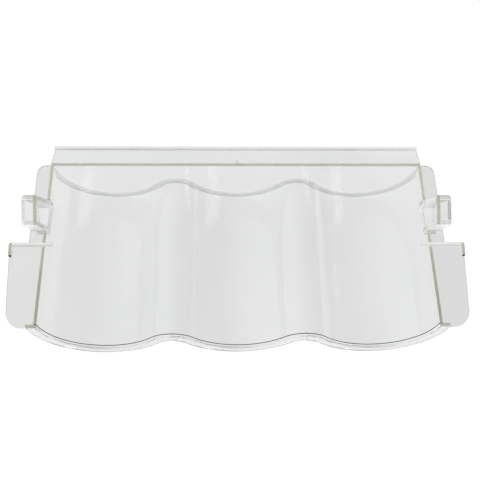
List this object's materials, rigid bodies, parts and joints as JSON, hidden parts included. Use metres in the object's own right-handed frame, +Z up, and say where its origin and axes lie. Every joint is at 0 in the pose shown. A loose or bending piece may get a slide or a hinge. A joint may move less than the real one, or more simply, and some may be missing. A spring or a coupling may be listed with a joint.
{
  "type": "sneeze guard",
  "caption": "Clear plastic sneeze guard with a fluted panel, front band, back flange, flat side wings and raised side hooks.",
  "frame": {"origin": "bottom centre of the bounding box, on the surface that the front band and the back wall stand on", "axes": "+X to the right along the flutes' row, +Y to the back flange, +Z up"},
  "size_m": [0.6322, 0.288, 0.101],
  "materials": {
    "clear_panel": "clear, polished",
    "clear_wing": "clear, polished",
    "clear_strip": "clear, with tinted cut edges",
    "clear_hook": "clear, with tinted cut edges"
  },
  "bodies": {
    "root": {"fluted_panel": "clear_panel", "rear_wall": "clear_panel", "rear_flange": "clear_wing", "lower_wing_left": "clear_wing", "lower_wing_right": "clear_wing", "upper_wing_left": "clear_wing", "upper_wing_right": "clear_wing", "front_band_left": "clear_strip", "front_band_centre": "clear_strip", "front_band_right": "clear_strip", "rear_lip": "clear_strip", "cross_rib_left": "clear_strip", "cross_rib_right": "clear_strip", "corner_return_left": "clear_strip", "corner_return_right": "clear_strip", "hook_floor_left": "clear_hook", "hook_web_front_left": "clear_hook", "hook_web_rear_left": "clear_hook", "hook_upright_left": "clear_hook", "hook_cap_left": "clear_hook", "hook_block_front_left": "clear_hook", "hook_block_rear_left": "clear_hook", "hook_floor_right": "clear_hook", "hook_web_front_right": "clear_hook", "hook_web_rear_right": "clear_hook", "hook_upright_right": "clear_hook", "hook_cap_right": "clear_hook", "hook_block_front_right": "clear_hook", "hook_block_rear_right": "clear_hook"}
  },
  "joints": []
}
